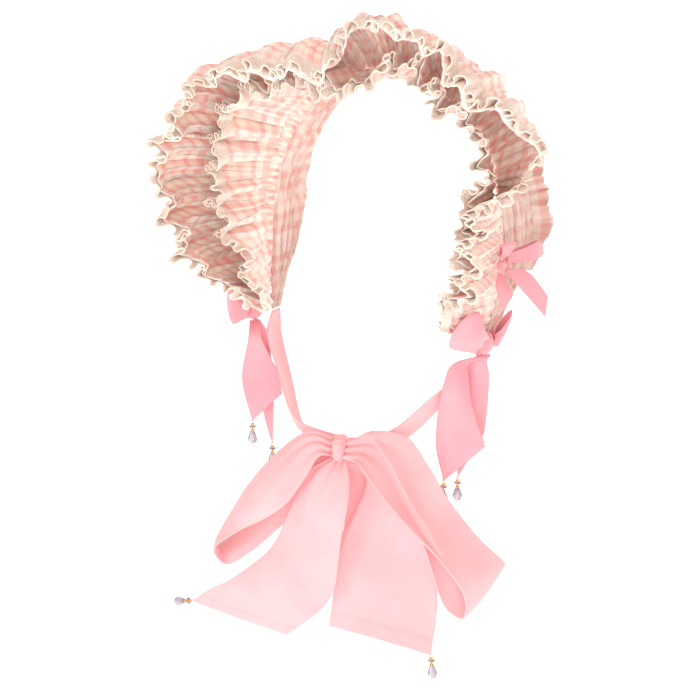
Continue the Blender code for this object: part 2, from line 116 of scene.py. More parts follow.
# Seamless white background paper, matte, so that it takes only soft shadows
paper, _, _ = material("white_background_paper", base_color=linear("#FCFCFC"), roughness=0.95,
                       emission_color=linear("#FFFFFF"), emission_strength=0.5)
side, run = grid(-PAPER_HALF_WIDTH, PAPER_HALF_WIDTH, 3, PAPER_ROWS)
bent = PAPER_FLAT_SHARE + PAPER_BEND_SHARE
flat_run = np.clip(run / PAPER_FLAT_SHARE, 0, 1)
bend = np.clip((run - PAPER_FLAT_SHARE) / PAPER_BEND_SHARE, 0, 1) * np.pi / 2
rise_run = np.clip((run - bent) / (1 - bent), 0, 1)
paper_points = np.stack([
    side,
    PAPER_FRONT + (PAPER_BACK - PAPER_CURVE - PAPER_FRONT) * flat_run + PAPER_CURVE * np.sin(bend),
    FLOOR_Z + PAPER_CURVE * (1 - np.cos(bend)) + PAPER_HEIGHT * rise_run], -1)
paper_mesh = bpy.data.meshes.new("background_paper")
paper_mesh.from_pydata(paper_points.reshape(-1, 3).tolist(), [], grid_faces(3, PAPER_ROWS).tolist())
paper_mesh.shade_smooth()
paper_mesh.materials.append(paper)
background = bpy.data.objects.new("background_paper", paper_mesh)
bpy.context.collection.objects.link(background)

# each lamp: where it stands, where it points, how wide it is in metres, and its power in watts
for light_name, place_at, aim, size, power in (
        ("key_light", (-0.5, -2.0, 0.75), (0, 0, -0.15), 0.9, 14),
        ("fill_light", (0.95, -1.75, 0.25), (0, 0, -0.12), 1.2, 14),
        ("paper_light", (0, 0.6, 0.9), (0, 2.6, 0.7), 1.4, 40)):
    lamp = bpy.data.lights.new(light_name, "AREA")
    lamp.size = size
    lamp.energy = power
    lamp.color = (0.93, 0.98, 1.0)
    light = bpy.data.objects.new(light_name, lamp)
    light.location = place_at
    light.rotation_euler = (Vector(place_at) - Vector(aim)).to_track_quat("Z", "Y").to_euler()
    bpy.context.collection.objects.link(light)
# The walls send a faint warm light on everything, and are white to look at
world = bpy.data.worlds.new("studio_walls")
world.use_nodes = True
walls = world.node_tree
glow = node(walls, "Background", {"Color": linear("#FFE2D6"), "Strength": 0.62})
white = node(walls, "Background", {"Color": linear("#F4F2F0"), "Strength": 1.0})
seen = node(walls, "LightPath").outputs["Is Camera Ray"]
mixed = node(walls, "MixShader", {0: seen, 1: glow.outputs[0], 2: white.outputs[0]})
walls.links.new(mixed.outputs[0], walls.nodes["World Output"].inputs["Surface"])
bpy.context.scene.world = world

# Band: a strip of check cotton, wider than it ends up, ruched lengthwise and sewn over a lining.
# It arches over the crown, with an end low on each side, and carries everything else. Sizes are
# in mm.
MM = 0.001
HEAD_HALF_WIDTH = 84.0
CROWN_RISE = 105.0
CHEEK_DROP = 150.0
ARCH_END = 112.0
BAND_LIFT = 2.9
BAND_RIDGE = 0.9
BAND_RIDGES = 2
BAND_RUCHES = 5
BAND_RUCHE = 2.3
BAND_HEM = 0.06
# how far each edge of the band is tucked under its neighbour
BAND_TUCK = 1.5
# how much longer the cloth is across the band, before the ruches take it up
BAND_TAKE_UP = 1.6
CLOTH = 0.9
# angle away from the crown, and the band's front and rear edge there, along Y
BAND_EDGES = np.array([
    (0, -12, 28),
    (40, -12, 28),
    (75, -12, 28),
    (88, -12, 27),
    (96, -14, 17),
    (104, -21, -1),
    (112, -30, -18)], float)


def curve(x, table, column):
    """Cubic curve through one column of a table over its first, slopes from the neighbours."""
    x = np.asarray(x, float)
    at, values = table[:, 0], table[:, column]
    slope = np.gradient(values, at)
    i = np.clip(np.searchsorted(at, x) - 1, 0, len(at) - 2)
    step = at[i + 1] - at[i]
    t = (x - at[i]) / step
    return ((2 * t**3 - 3 * t**2 + 1) * values[i] + (t**3 - 2 * t**2 + t) * step * slope[i]
            + (3 * t**2 - 2 * t**3) * values[i + 1] + (t**3 - t**2) * step * slope[i + 1])


def unit(v):
    """Each vector over its own length."""
    return v / np.linalg.norm(v, axis=-1, keepdims=True)


def smooth_step(x):
    """0 below 0, 1 above 1, and 3x^2 - 2x^3 between."""
    x = np.clip(x, 0, 1)
    return x * x * (3 - 2 * x)


def waver(x, seed):
    """An uneven wave between about -1 and 1: three sines that never fall in step."""
    return (np.sin(x + 1.7 * seed) + 0.7 * np.sin(2.37 * x + 2.9 * seed)
            + 0.5 * np.sin(4.13 * x + 4.7 * seed)) / 1.9


def arch(angle):
    """A point of the arch that the band lies on, and the direction straight out of it."""
    p = np.radians(angle)
    rise = np.where(np.cos(p) > 0, CROWN_RISE, CHEEK_DROP)
    at = np.stack([HEAD_HALF_WIDTH * np.sin(p), 0 * p, -CROWN_RISE + rise * np.cos(p)], -1)
    out = unit(np.stack([np.sin(p) / HEAD_HALF_WIDTH, 0 * p, np.cos(p) / rise], -1))
    return at, out


def place(angle, out, forward, sweep=0.0):
    """A point so far out of the arch, forward of Y = 0 and swept along the arch."""
    at, outward = arch(angle)
    along = np.stack([outward[..., 2], 0 * angle, -outward[..., 0]], -1)
    moved = at + outward * np.asarray(out + 0 * angle)[..., None]
    moved = moved + along * np.asarray(sweep + 0 * angle)[..., None]
    moved[..., 1] -= forward
    return moved


def run_lengths(points, axis):
    """How far each grid point is from the first, measured along one axis of the grid."""
    steps = np.linalg.norm(np.diff(points, axis=axis), axis=-1)
    start = np.zeros_like(np.take(steps, [0], axis=axis))
    return np.concatenate([start, np.cumsum(steps, axis=axis)], axis=axis)


def cut_lengths(points, first_share=0.0, from_end=False):
    """Each point's place on the flat cut cloth, in mm: along it, as the mean of the columns from
    first_share on, and across it, from its first edge or from its last."""
    first = int(first_share * (points.shape[1] - 1))
    along = run_lengths(points, 0)[:, first:].mean(1)[:, None] + 0 * points[..., 0]
    across = run_lengths(points, 1)
    if from_end:
        across = across[:, -1:] - across
    return np.stack([along, across], -1)


def finished(name, mesh, slot, nodes):
    """The object of one piece, which rides on the body and stands for its CAD nodes."""
    piece = bpy.data.objects.new(name, mesh)
    bpy.context.collection.objects.link(piece)
    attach(piece, "root")
    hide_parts(*nodes)
    return piece


def flat_mapped(name, points, flat, stuff):
    """A mesh from a grid of points in mm, with their flat lengths as a UV map in metres."""
    mesh = bpy.data.meshes.new(name)
    mesh.from_pydata((points.reshape(-1, 3) * MM).tolist(), [], grid_faces(*points.shape[:2]).tolist())
    corner = np.empty(len(mesh.loops), np.int32)
    mesh.loops.foreach_get("vertex_index", corner)
    flat_layer = mesh.uv_layers.new(name="flat")
    flat_layer.data.foreach_set("uv", (flat.reshape(-1, 2)[corner] * MM).ravel())
    mesh.shade_smooth()
    mesh.materials.append(stuff)
    return mesh


def cloth(name, points, flat, thickness, stuff, slot, *nodes):
    """A piece of cloth: its middle surface, and half its thickness to either side."""
    piece = finished(name, flat_mapped(name, points, flat, stuff), slot, nodes)
    wall = piece.modifiers.new("thickness", "SOLIDIFY")
    wall.thickness = thickness * MM
    wall.offset = 0
    return piece


def stripes(tree, along, bands):
    """A row of stripes along one flat length in metres: a ramp over their repeat, with bands of
    (width in mm, colour) and soft sides about 1 mm wide."""
    repeat = sum(width for width, _ in bands)
    turn = node(tree, "Math", {0: along, 1: repeat * MM}, operation="DIVIDE")
    share = node(tree, "Math", {0: turn.outputs[0]}, operation="FRACT")
    ramp = node(tree, "ValToRGB", {"Fac": share.outputs[0]})
    soft = 0.6 / repeat
    at = 0.0
    stops = []
    for width, colour in bands:
        stops += [(at + soft, colour), (at + width / repeat - soft, colour)]
        at += width / repeat
    elements = ramp.color_ramp.elements
    while len(elements) < len(stops):
        elements.new(0.5)
    for element, (position, colour) in zip(elements, stops):
        element.position = position
        element.color = linear(colour)
    return ramp.outputs["Color"]


def weave(tree, flat, pitch):
    """The height of a plain weave: one thread over and the next under, pitch mm apart."""
    scaled = node(tree, "VectorMath", {0: flat, 1: (math.pi / (pitch * MM),) * 3}, operation="MULTIPLY")
    parts = node(tree, "SeparateXYZ", {0: scaled.outputs[0]})
    waves = [node(tree, "Math", {0: parts.outputs[i]}, operation="SINE").outputs[0] for i in (0, 1)]
    return node(tree, "Math", {0: waves[0], 1: waves[1]}, operation="MULTIPLY").outputs[0]


def bumped(tree, heights, shader):
    """Bumps from (height socket, depth in mm), one on the other, into the shader's normal."""
    normal = None
    for height, depth in heights:
        inputs = {"Height": height, "Distance": depth * MM, "Strength": 1.0}
        if normal:
            inputs["Normal"] = normal
        normal = node(tree, "Bump", inputs).outputs["Normal"]
    tree.links.new(normal, shader.inputs["Normal"])


THREADS_DRAWN = 0.9
# the check's stripes along and across the cloth: width in mm, and colour
WARP = [(5, "#F8E6D6"), (5, "#F3BDB4"), (5.5, "#FAEEE2"), (5, "#F8D9D1"), (5.5, "#FBF2E8"),
        (5, "#F4C1BC")]
WEFT = [(6, "#FBF2E8"), (6, "#F3BBB4"), (7, "#FBF2E8"), (5, "#F8D3CC"), (6, "#FAEEE4"),
        (4, "#F4B5B5")]


def check_material(name, painted_shade_value, glow_through):
    """Brushed cotton, woven in a check of cream, salmon and pink yarns: matte, and each crossing
    takes the mean of its two yarns. Its threads are 0.3 mm apart, drawn 0.9 mm here."""
    made, tree, shader = material(name, roughness=0.95, specular_ior_level=0.2,
                                  subsurface_weight=glow_through, subsurface_scale=0.0012)
    shader.inputs["Subsurface Radius"].default_value = (1.0, 0.95, 0.9)
    flat_map = node(tree, "UVMap", uv_map="flat").outputs[0]
    flat_parts = node(tree, "SeparateXYZ", {0: flat_map})
    warp = stripes(tree, flat_parts.outputs[0], WARP)
    weft = stripes(tree, flat_parts.outputs[1], WEFT)
    checked = node(tree, "Mix", {0: 0.5, 6: warp, 7: weft}, data_type="RGBA")
    # painted shade: the check's colour is darkened by the value given, 0.8 for the band and back frill,
    # which lie in the shade of the brim
    shaded = node(tree, "HueSaturation", {"Color": checked.outputs[2], "Value": painted_shade_value})
    tree.links.new(shaded.outputs[0], shader.inputs["Base Color"])
    in_metres = node(tree, "TexCoord").outputs["Object"]
    crinkle = node(tree, "TexNoise", {"Vector": in_metres, "Scale": 260.0, "Detail": 3.0})
    bumped(tree, [(crinkle.outputs[0], 0.45), (weave(tree, flat_map, THREADS_DRAWN), 0.02)], shader)
    return made


# Brushed check cotton in one layer, which glows with the light behind it
check_cotton = check_material("brushed_check_cotton", 1.0, 0.8)
# The same cotton sewn double, or over a lining: no light comes through, and its colour is darkened to 0.8
# as painted shade, for the shade it lies in under the brim
lined_shaded_cotton = check_material("lined_check_cotton_painted_shade", 0.8, 0.0)


def band_edge(angle, column):
    """Where the band's front edge (column 1) or rear edge (column 2) is, along Y."""
    return curve(np.abs(angle), BAND_EDGES, column)


angle, across = grid(-ARCH_END, ARCH_END, 330, 85)
ruche_at = BAND_RUCHES * across + 0.30 * waver(angle / 16, 1) + 0.22 * waver(angle / 7 + 5 * across, 2)
ruche = BAND_RUCHE * (2 * np.abs(np.sin(np.pi * ruche_at)) - 1.1) * (1 + 0.3 * waver(angle / 9, 3))
ruche = ruche * smooth_step(across / BAND_HEM) * smooth_step((1 - across) / BAND_HEM)
ridge = BAND_RIDGE * np.cos(2 * np.pi * BAND_RIDGES * across)
along_y = band_edge(angle, 1) + (band_edge(angle, 2) - band_edge(angle, 1)) * across
along_y = along_y + BAND_TUCK * (2 * across - 1)
points = place(angle, BAND_LIFT + ridge + ruche, -along_y)
band = cloth("band_cloth", points, cut_lengths(points) * (1.0, BAND_TAKE_UP), CLOTH, lined_shaded_cotton,
             "check_cloth", "band")

# Back frill: a doubled strip of the check, pleated by hand and stood up along the band's rear
# edge, where it ends behind the small bows.
BACK_FRILL_HEIGHT = 12.0
BACK_FRILL_END = 97.0
BACK_FRILL_SEAM = 1.3
BACK_FRILL_LEAN = 5.0
BACK_FRILL_RUFFLES = 22
BACK_FRILL_RUFFLE = 3.0
BACK_FRILL_PLEAT = 1.5
BACK_FRILL_OVERLAP = 1.4
angle, up = grid(-BACK_FRILL_END, BACK_FRILL_END, 900, 14)
taper = np.clip((BACK_FRILL_END + 6 - np.abs(angle)) / 16, 0.35, 1)
turn = np.pi * BACK_FRILL_RUFFLES * angle / ARCH_END
ruffle = (BACK_FRILL_RUFFLE * up * np.sin(turn)
          + BACK_FRILL_PLEAT * up**0.6 * np.sin(3.1 * turn + waver(angle / 6, 4)))
back = band_edge(angle, 2) + BACK_FRILL_SEAM + BACK_FRILL_LEAN * up + ruffle
out = BAND_LIFT + BAND_RIDGE + BACK_FRILL_HEIGHT * taper * up * (1 + 0.06 * waver(angle / 5, 5))
points = place(angle, out, -back, BACK_FRILL_OVERLAP * up * np.sin(2 * turn))
back_frill = cloth("back_frill_cloth", points, cut_lengths(points, 0.5), CLOTH, lined_shaded_cotton,
                   "check_cloth", "back_frill")

# Brim: a wide strip of the check, gathered tightly at its seam and again under the lace, so that
# it stands up all along the band and flares forward in ruffles.
BRIM_SEAM = 1.6
BRIM_GATHERS = 24
BRIM_GATHER = 4.0
BRIM_CALM_ENDS = 18.0
# angle from the wearer's right (-) over the crown (0) to the left (+), then how far the middle
# stands out and forward, how far the edge does, and how far the edge is swept along the arch
BRIM = np.array([
    (-112, -3, 16, -9, 30, 12),
    (-104, 4, 28, -3, 56, 8),
    (-96, 20, 40, 10, 76, 0),
    (-86, 32, 48, 20, 84, 0),
    (-76, 38, 48, 34, 86, 0),
    (-68, 41, 46, 44, 84, 0),
    (-58, 44, 46, 39, 84, 0),
    (-47, 49, 46, 42, 83, 0),
    (-36, 42, 40, 34, 82, 0),
    (-26, 35, 37, 21, 82, 0),
    (-16, 30, 37, 12, 84, 9),
    (-8, 30, 37, 9, 86, 20),
    (-2, 37, 34, 26, 71, 11),
    (4, 41, 30, 39, 57, 5),
    (12, 41, 29, 40, 54, 0),
    (22, 42, 30, 44, 60, 0),
    (30, 42, 27, 50, 66, 0),
    (36, 46, 21, 46, 74, 0),
    (43, 47, 17, 47, 74, 0),
    (50, 47, 14, 54, 60, 0),
    (57, 46, 13, 55, 42, 2),
    (63, 40, 18, 50, 38, 2),
    (70, 22, 42, 30, 76, -4),
    (78, 12, 46, 16, 84, -4),
    (86, 10, 42, 14, 78, -2),
    (95, 4, 37, 3, 70, -4),
    (103, -2, 30, -10, 58, -8),
    (112, -4, 16, -14, 32, -14)], float)
BRIM_FINE_PERIOD = 2.7
BRIM_FINE = 2.0
BRIM_FINE_SWEEP = 0.75
BRIM_SOFT_PERIOD = 6.1
BRIM_SOFT = 3.4
# how crisp the folds are at some angles: softest over the crown, where the cloth lies smooth
BRIM_CRISP = ((-112, -48, -30, 62, 74, 112), (1, 1, 0.3, 0.3, 0.9, 0.9))
# where the wide ruffles grow fuller, on the way down to the left end, and how much fuller
BRIM_FULL_FROM = 62.0
BRIM_FULL_RUN = 8.0
BRIM_FULL_EXTRA = 0.8
# the share of the brim's width that is cloth, at some angles; lace alone takes the rest
BRIM_CLOTH_EDGE = ((-112, -47, -34, 60, 70, 112), (0.985, 0.985, 1, 1, 0.99, 0.99))


def brim_section(angle, s):
    """How far out and forward the brim is at the share s of its width: a parabola through the
    seam, the middle and the edge, and its slopes."""
    mo, mf, eo, ef = (curve(angle, BRIM, column) for column in (1, 2, 3, 4))
    out = 4 * s * (1 - s) * mo + s * (2 * s - 1) * eo
    forward = 4 * s * (1 - s) * mf + s * (2 * s - 1) * ef
    return out, forward, (4 - 8 * s) * mo + (4 * s - 1) * eo, (4 - 8 * s) * mf + (4 * s - 1) * ef


def fine_gathers(angle, s, period, seed):
    """The turn of the fine gathers: an even count of them, pushed about by uneven waves that
    shift as s grows, so that gathers lean, meet and part."""
    return (2 * np.pi * angle / period + 1.5 * waver(angle / 5.5, seed)
            + 0.8 * waver(angle / 2.2 + 2.5 * s, seed + 1) + 1.2 * s * waver(angle / 8 + 2 * s, seed + 2))


def pleat(turn):
    """A wave with a sharp crease and a round back: 1 - 2 |sin(turn / 2)|^0.9."""
    return 1 - 2 * np.abs(np.sin(turn / 2))**0.9


def brim_point(angle, s, fine=1.0):
    """The brim's middle surface: its section, moved off itself by the wide ruffles, a sine that
    grows as s^1.3, by the soft pleats and by the fine gathers, and moved along the arch by the
    gathers' own overlap. Towards the seam all of them are crisp and the gathers take over."""
    out, forward, d_out, d_forward = brim_section(angle, s)
    calm = np.clip((ARCH_END - np.abs(angle)) / BRIM_CALM_ENDS, 0.2, 1)
    fuller = 1 + BRIM_FULL_EXTRA * smooth_step((angle - BRIM_FULL_FROM) / BRIM_FULL_RUN)
    crisp = np.interp(angle, *BRIM_CRISP)
    crisp = crisp + (1 - crisp) * (1 - smooth_step((s - 0.08) / 0.3))
    wide = (fuller * BRIM_GATHER * calm * np.clip(s, 0, 2)**1.3
            * np.sin(np.pi * BRIM_GATHERS * angle / ARCH_END))
    soft = BRIM_SOFT * pleat(2 * np.pi * angle / BRIM_SOFT_PERIOD + 2.2 * waver(angle / 9, 6) + 1.6 * s)
    turn = fine_gathers(angle, s, BRIM_FINE_PERIOD, 7)
    hold = (fine * (0.35 + 0.65 * smooth_step((s - 0.05) / 0.4)) * (0.75 + 0.25 * calm)
            * (1 - 0.6 * smooth_step((s - 0.8) / 0.2)))
    near = 0.5 * (1 - smooth_step((s - 0.1) / 0.5))
    gather = (BRIM_FINE * hold * (1 + 0.35 * waver(angle / 4, 9))
              * (np.sin(turn) + near * np.sin(2 * turn + 1)))
    overlap = BRIM_FINE_SWEEP * hold * np.sin(2 * turn)
    move = wide + calm * smooth_step(s / 0.35) * (0.4 + 0.6 * crisp) * soft + crisp * gather
    move = move / np.hypot(d_out, d_forward)
    return place(angle, BAND_LIFT + out + move * d_forward,
                 BRIM_SEAM - band_edge(angle, 1) + forward - move * d_out,
                 curve(angle, BRIM, 5) * s**2 + overlap)


angle, s = grid(-ARCH_END, ARCH_END, 1180, 41)
points = brim_point(angle, s * np.interp(angle, *BRIM_CLOTH_EDGE))
brim = cloth("brim_cloth", points, cut_lengths(points, 0.5, from_end=True), CLOTH, check_cotton,
             "check_cloth", "brim")

# Brim lace: cream cotton lace about 14 mm wide, gathered to more than half as much again and sewn
# on the brim's outer face, so that its scallops stand off in tight waves past the brim's edge.
LACE_FULLNESS = 1.65
LACE_WAVE = 11.0
LACE_WAVE_HEIGHT = 3.0
LACE_SCALLOP = 8.0
LACE_ZIGZAG_STEP = 1.8
LACE_STEP = 1.0
LACE_CORD_SIDES = 5
# seven cords from the scalloped edge to the header: the share of the width where each runs, how
# much of a scallop it follows, and its radius
LACE_CORDS = ((0.88, 0.16, 0.66), (0.73, 0.13, 0.66), (0.6, 0.04, 0.6), (0.46, 0, 0.58),
              (0.32, 0, 0.55), (0.18, 0, 0.55), (0.04, 0, 0.6))
# the net between them: the shares of the width where it starts and ends, its threads and ribs
NET_FROM = 0.02
NET_TO = 0.76
NET_THICK = 0.3
NET_RIB_PITCH = 1.9
NET_RIB = 0.08
NET_STEP = 0.7
NET_COLUMNS = 7
# how far the lace lies off the cloth that it is sewn to, and, at some angles, where its outer
# edge is and how wide it is, as shares of the brim's width
LACE_OFF = 0.6
BRIM_LACE_EDGE = ((-112, -47, -34, 60, 70, 112), (1.03, 1.03, 0.985, 0.985, 1.03, 1.03))
BRIM_LACE_WIDTH = ((-112, -60, -45, -8, 60, 72, 112), (0.125, 0.125, 0.1, 0.1, 0.115, 0.17, 0.17))
# a path's points, and over how many of them the lace's facing is smoothed, so that it turns
# gently where the brim bends sharply
PATH_POINTS = 2400
NORMAL_RUN = 41


def two_colours(tree, shader, pattern, first, second):
    """Colours the shader by a pattern: each of the two is (the pattern's value, colour), with the
    first below its value, the second above, and an even change between."""
    ramp = node(tree, "ValToRGB", {"Fac": pattern})
    for element, (value, colour) in zip(ramp.color_ramp.elements, (first, second)):
        element.position = value
        element.color = linear(colour)
    tree.links.new(ramp.outputs[0], shader.inputs["Base Color"])


# Soft spun cotton, creamy and matte; its plied threads are 0.3 mm thick, and their fuzz is drawn
# about 0.6 mm coarse so that it shows
lace_cotton, tree, shader = material("spun_cotton_lace", roughness=0.95, sheen_weight=0.2,
                                     sheen_roughness=0.5, specular_ior_level=0.25)
in_metres = node(tree, "TexCoord").outputs["Object"]
cloudy = node(tree, "TexNoise", {"Vector": in_metres, "Scale": 90.0, "Detail": 2.0})
two_colours(tree, shader, cloudy.outputs[0], (0.35, "#EFDDCE"), (0.62, "#F9EEE3"))
fuzz = node(tree, "TexNoise", {"Vector": in_metres, "Scale": 1600.0, "Detail": 1.0})
bumped(tree, [(fuzz.outputs[0], 0.12)], shader)
# The fine cotton net between the cords, with holes 1.4 mm apart that are not cut but painted: each is a
# darker, pinker spot of painted shade, pink as the cloth shows through it, and light glows through its
# thin threads
lace_net, tree, shader = material("fine_cotton_net", roughness=0.95, specular_ior_level=0.2,
                                  subsurface_weight=0.7, subsurface_scale=0.0012)
shader.inputs["Subsurface Radius"].default_value = (1.0, 0.93, 0.88)
in_metres = node(tree, "TexCoord").outputs["Object"]
holes = node(tree, "TexVoronoi", {"Vector": in_metres, "Scale": 700.0})
two_colours(tree, shader, holes.outputs["Distance"], (0.2, "#EBD3C4"), (0.55, "#FBECE1"))
bumped(tree, [(holes.outputs["Distance"], 0.15)], shader)


def lace_sheet(header, edge, outward, seed):
    """The gathered lace as a function of the length along it and the share of its width, both
    flat. The length is taken up by a wave that grows from the header to the scallops and leans
    back at its crests: base + outward * (0.9 + w^1.1 * height * (0.8 + sin f))
    - along * w * lean * sin 2f."""
    middle = (header + edge) / 2
    along_path = unit(np.gradient(middle, axis=0))
    length = run_lengths(middle, 0)

    def at(flat_length, w):
        x = flat_length / LACE_FULLNESS
        h, e, n, a = (np.stack([np.interp(x, length, line[:, i]) for i in range(3)], -1)
                      for line in (header, edge, outward, along_path))
        turn = 2 * np.pi * x / LACE_WAVE + 1.4 * waver(x / 13, seed) + 0.6 * waver(x / 5, seed + 1)
        reach = LACE_WAVE_HEIGHT * (1 + 0.35 * waver(x / 19, seed + 2))
        w = w * (1 + 0.05 * waver(x / 7, seed + 3))
        lift = (0.9 + np.clip(w, 0, 2)**1.1 * (0.8 * reach + reach * np.sin(turn)))[..., None]
        lean = (np.clip(w, 0, 1) * -0.1 * LACE_WAVE * np.sin(2 * turn))[..., None]
        return h + (e - h) * w[..., None] + n * lift + a * lean

    return at, length[-1] * LACE_FULLNESS


def tube(points, normal, radius, sides):
    """A cord along a line, rings of that radius across it: its points, its quads and its two
    end caps."""
    ahead = unit(np.gradient(points, axis=0))
    side = unit(np.cross(ahead, normal))
    up = np.cross(side, ahead)
    turn = 2 * np.pi * np.arange(sides) / sides
    round_it = np.cos(turn)[:, None] * side[:, None] + np.sin(turn)[:, None] * up[:, None]
    rings = points[:, None] + radius * round_it
    a = np.arange((len(points) - 1) * sides)
    b = a // sides * sides + (a + 1) % sides
    caps = np.stack([np.arange(sides), len(a) + np.arange(sides)[::-1]])
    return rings.reshape(-1, 3), np.stack([b, a, a + sides, b + sides], 1), caps


def lace_normal(at, flat_length, w):
    """Which way the lace faces: square to the run along it and the run across it."""
    along = at(flat_length + 0.3, w) - at(flat_length - 0.3, w)
    across = at(flat_length, w + 0.03) - at(flat_length, w - 0.03)
    return unit(np.cross(along, across))


def net(at, length):
    """The lace's net ground: a strip with two skins and a rim, its thickness rising and falling
    in fine ribs across it: thick / 2 + rib * cos(2 pi x / pitch)."""
    x, w = grid(0.5, length - 0.5, int(length / NET_STEP), NET_COLUMNS, NET_FROM, NET_TO)
    half = (NET_THICK / 2 + NET_RIB * np.cos(2 * np.pi * x / NET_RIB_PITCH))[..., None]
    middle, normal = at(x, w), lace_normal(at, x, w)
    number = np.arange(x.size).reshape(x.shape)
    rim = np.concatenate([number[0], number[1:, -1], number[-1, -2::-1], number[-2:0:-1, 0]])
    after = np.roll(rim, -1)
    skin = grid_faces(*x.shape)
    edge_faces = np.stack([rim, after, after + x.size, rim + x.size], 1)
    return (np.concatenate([middle + normal * half, middle - normal * half]).reshape(-1, 3),
            np.concatenate([skin, skin[:, ::-1] + x.size, edge_faces]))


def lace(name, header, edge, outward, seed, *nodes):
    """One length of lace: its net, seven cords along it, of which the outer three follow the
    scallops, and a zigzag cord from the third to the edge. Each cord runs at the share w of the
    width, share + scalloped * |sin(pi x / scallop)|^0.7."""
    at, length = lace_sheet(header + outward * LACE_OFF, edge + outward * LACE_OFF, outward, seed)
    x = np.arange(0.5, length - 0.5, LACE_STEP)
    scallop = np.abs(np.sin(np.pi * x / LACE_SCALLOP))**0.7
    zigzag = np.abs((x / LACE_ZIGZAG_STEP) % 2 - 1)
    lines = [(share + scalloped * scallop, radius) for share, scalloped, radius in LACE_CORDS]
    lines.append((0.6 + (0.28 + 0.14 * scallop) * zigzag, 0.42))
    bodies = [tube(at(x, w), lace_normal(at, x, w), radius, LACE_CORD_SIDES) for w, radius in lines]
    net_points, net_faces = net(at, length)
    starts = np.cumsum([0] + [len(points) for points, _, _ in bodies])
    quads = np.concatenate([faces + start for (_, faces, _), start in zip(bodies, starts)])
    caps = np.concatenate([ends + start for (_, _, ends), start in zip(bodies, starts)])
    points = np.concatenate([points for points, _, _ in bodies] + [net_points]) * MM
    mesh = bpy.data.meshes.new(name)
    mesh.from_pydata(points.tolist(), [],
                     quads.tolist() + (net_faces + starts[-1]).tolist() + caps.tolist())
    mesh.shade_smooth()
    mesh.materials.append(lace_cotton)
    mesh.materials.append(lace_net)
    in_net = np.repeat([0, 1, 0], [len(quads), len(net_faces), len(caps)])
    mesh.polygons.foreach_set("material_index", in_net.astype(np.int32))
    return finished(name, mesh, "cotton_lace", nodes)


def strip_lines(surface, angle, low, high, facing):
    """Two lines along a frill, with all but its fine gathers, at the shares low and high of its
    width, and the smoothed direction that its facing side looks."""
    a = surface(angle, low, 0.15)
    b = surface(angle, high, 0.15)
    normal = facing * unit(np.cross(np.gradient(a, axis=0), b - a))
    run = np.ones(NORMAL_RUN) / NORMAL_RUN
    normal = unit(np.stack([np.convolve(normal[:, i], run, "same") for i in range(3)], -1))
    return a, b, normal


angle = np.linspace(-ARCH_END, ARCH_END, PATH_POINTS)
outer_share = np.interp(angle, *BRIM_LACE_EDGE)
inner_share = outer_share - np.interp(angle, *BRIM_LACE_WIDTH)
header, edge, outward = strip_lines(brim_point, angle, inner_share, outer_share, -1)
brim_lace = lace("brim_lace_trim", header, edge, outward, 11, "brim_lace")

# Inner frill: a narrower strip of the same check, gathered into the brim's seam on its inside,
# so that it lines the opening with a second row of ruffles and lace.
FRILL_START = 0.05
FRILL_CLOTH_EDGE = 0.95
FRILL_SEAM = 2.7
FRILL_GATHERS = 22
FRILL_GATHER = 2.5
FRILL_EXTRA = 3.4
FRILL_FINE = 2.0
FRILL_SOFT = 3.0
FRILL_SOFT_PERIOD = 7.3
FRILL_FINE_PERIOD = 3.1
FRILL_FINE_SWEEP = 0.6
FRILL_LACE_SHARES = (0.8, 1.045)
# how far the frill's check is shifted, so that it doesn't run on from the brim's
FRILL_CHECK_SHIFT = (11, 0)
# angle as for the brim, and how far its free edge stands out and forward
INNER_FRILL = np.array([
    (-110, -9.5, 22),
    (-104, -7, 36),
    (-97, -1, 46),
    (-90, 8, 50),
    (-82, 15, 52),
    (-74, 20, 52),
    (-66, 26, 50),
    (-57, 29, 50),
    (-50, 32, 53),
    (-40, 29, 52),
    (-28, 19, 52),
    (-15, 8, 54),
    (-4, 1, 54),
    (3, 3, 50),
    (8, 10, 45),
    (13, 23, 40),
    (19, 28, 40),
    (28, 25, 45),
    (38, 27, 50),
    (47, 35, 52),
    (55, 34, 56),
    (62, 26, 59),
    (70, 12, 56),
    (80, 3, 50),
    (92, -5, 44),
    (102, -12, 35),
    (110, -9, 22)], float)


def frill_point(angle, s, fine=1.0):
    """The inner frill's middle surface: straight from its root inside the brim to its free edge,
    moved off itself by its uneven ruffles, which grow as s^1.2, its soft pleats and its fine
    gathers."""
    out, forward, d_out, d_forward = brim_section(angle, FRILL_START)
    length = np.hypot(d_out, d_forward)
    root_out = BAND_LIFT + out - FRILL_SEAM * d_forward / length
    root_forward = forward + FRILL_SEAM * d_out / length
    run_out = BAND_LIFT + curve(angle, INNER_FRILL, 1) - root_out
    run_forward = curve(angle, INNER_FRILL, 2) - root_forward
    ruffle = (FRILL_GATHER + FRILL_EXTRA * (1 + 0.6 * waver(angle / 9, 25))) * np.clip(s, 0, 2)**1.2
    ruffle = ruffle * np.sin(np.pi * FRILL_GATHERS * angle / ARCH_END + 0.8 + 0.5 * waver(angle / 10, 26))
    turn = fine_gathers(angle, s, FRILL_FINE_PERIOD, 21)
    hold = fine * (0.4 + 0.6 * smooth_step(s / 0.5)) * (1 - 0.5 * smooth_step((s - 0.8) / 0.2))
    gather = FRILL_FINE * hold * (1 + 0.35 * waver(angle / 4, 24)) * np.sin(turn)
    soft = pleat(2 * np.pi * angle / FRILL_SOFT_PERIOD + 2.4 * waver(angle / 8, 27) + 1.8 * s)
    move = (ruffle + FRILL_SOFT * smooth_step(s / 0.4) * soft + gather) / np.hypot(run_out, run_forward)
    return place(angle, root_out + run_out * s + move * run_forward,
                 BRIM_SEAM - band_edge(angle, 1) + root_forward + run_forward * s - move * run_out,
                 FRILL_FINE_SWEEP * hold * np.sin(2 * turn))


